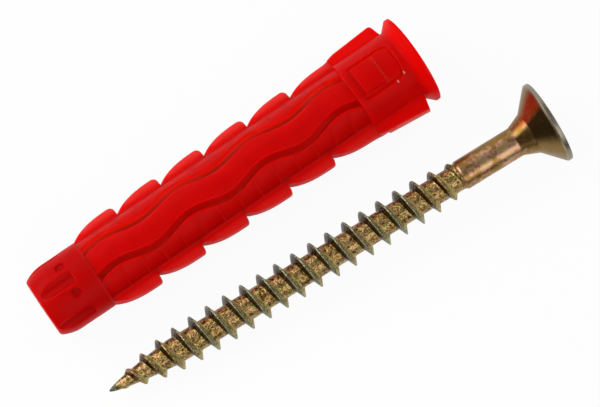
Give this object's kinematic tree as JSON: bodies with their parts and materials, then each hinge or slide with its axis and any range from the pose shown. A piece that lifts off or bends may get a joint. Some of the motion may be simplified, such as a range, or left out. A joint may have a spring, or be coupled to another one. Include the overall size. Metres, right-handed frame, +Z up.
{
  "type": "wall anchor",
  "caption": "Toothed plastic expansion plug with wavy slots, sprung locking tongues and a flared collar, lying beside its coarse-threaded countersunk screw.",
  "frame": {"origin": "centre of the collar's outer face, on the plug's axis", "axes": "+X along the plug's axis out of the wall, nose at -X; +Z up; the screw lies on the -Y side"},
  "size_m": [0.0716, 0.0314, 0.0132],
  "materials": {
    "red_plastic": "moulded nylon, soft sheen",
    "yellow_zinc": "yellow passivated zinc plating on steel, iridescent"
  },
  "bodies": {
    "plug": {"collar_sleeve": "red_plastic", "nose_ring": "red_plastic"},
    "front_segment_upper": {"front_segment_upper": "red_plastic"},
    "front_segment_lower": {"front_segment_lower": "red_plastic"},
    "back_segment_upper": {"back_segment_upper": "red_plastic"},
    "back_segment_lower": {"back_segment_lower": "red_plastic"},
    "left_segment_upper": {"left_segment_upper": "red_plastic"},
    "left_segment_lower": {"left_segment_lower": "red_plastic"},
    "right_segment_upper": {"right_segment_upper": "red_plastic"},
    "right_segment_lower": {"right_segment_lower": "red_plastic"},
    "front_tongue": {"front_tongue": "red_plastic"},
    "back_tongue": {"back_tongue": "red_plastic"},
    "screw": {"screw": "yellow_zinc"}
  },
  "joints": [
    {"name": "screw_lift", "type": "slide", "parent": "plug", "child": "screw", "axis": [0, 0, 1], "range_m": [0, 0.04]},
    {"name": "front_neck_hinge", "type": "hinge", "parent": "plug", "child": "front_segment_upper", "pos_m": [-0.01015, 0, 0.00345], "axis": [0, 1, 0], "range_deg": [0, 4], "stiffness_Nm_per_rad": 0.2},
    {"name": "front_elbow_hinge", "type": "hinge", "parent": "front_segment_upper", "child": "front_segment_lower", "pos_m": [-0.0314, 0, 0.0024], "axis": [0, -1, 0], "range_deg": [0, 8], "stiffness_Nm_per_rad": 0.2},
    {"name": "back_neck_hinge", "type": "hinge", "parent": "plug", "child": "back_segment_upper", "pos_m": [-0.01015, 0, -0.00345], "axis": [0, -1, 0], "range_deg": [0, 4], "stiffness_Nm_per_rad": 0.2},
    {"name": "back_elbow_hinge", "type": "hinge", "parent": "back_segment_upper", "child": "back_segment_lower", "pos_m": [-0.0314, 0, -0.0024], "axis": [0, 1, 0], "range_deg": [0, 8], "stiffness_Nm_per_rad": 0.2},
    {"name": "left_neck_hinge", "type": "hinge", "parent": "plug", "child": "left_segment_upper", "pos_m": [-0.01015, 0.00345, 0], "axis": [0, 0, -1], "range_deg": [0, 4], "stiffness_Nm_per_rad": 0.2},
    {"name": "left_elbow_hinge", "type": "hinge", "parent": "left_segment_upper", "child": "left_segment_lower", "pos_m": [-0.0314, 0.0024, 0], "axis": [0, 0, 1], "range_deg": [0, 8], "stiffness_Nm_per_rad": 0.2},
    {"name": "right_neck_hinge", "type": "hinge", "parent": "plug", "child": "right_segment_upper", "pos_m": [-0.01015, -0.00345, 0], "axis": [0, 0, 1], "range_deg": [0, 4], "stiffness_Nm_per_rad": 0.2},
    {"name": "right_elbow_hinge", "type": "hinge", "parent": "right_segment_upper", "child": "right_segment_lower", "pos_m": [-0.0314, -0.0024, 0], "axis": [0, 0, -1], "range_deg": [0, 8], "stiffness_Nm_per_rad": 0.2},
    {"name": "front_tongue_hinge", "type": "hinge", "parent": "plug", "child": "front_tongue", "pos_m": [-0.00895, 0, 0.0042], "axis": [0, -1, 0], "range_deg": [-8, 8], "stiffness_Nm_per_rad": 0.05},
    {"name": "back_tongue_hinge", "type": "hinge", "parent": "plug", "child": "back_tongue", "pos_m": [-0.00895, 0, -0.0042], "axis": [0, 1, 0], "range_deg": [-8, 8], "stiffness_Nm_per_rad": 0.05}
  ],
  "couplings": [
    {"joint": "front_elbow_hinge", "follows": "front_neck_hinge", "ratio": 2},
    {"joint": "back_neck_hinge", "follows": "front_neck_hinge", "ratio": 1},
    {"joint": "back_elbow_hinge", "follows": "front_neck_hinge", "ratio": 2},
    {"joint": "left_neck_hinge", "follows": "front_neck_hinge", "ratio": 1},
    {"joint": "left_elbow_hinge", "follows": "front_neck_hinge", "ratio": 2},
    {"joint": "right_neck_hinge", "follows": "front_neck_hinge", "ratio": 1},
    {"joint": "right_elbow_hinge", "follows": "front_neck_hinge", "ratio": 2}
  ]
}
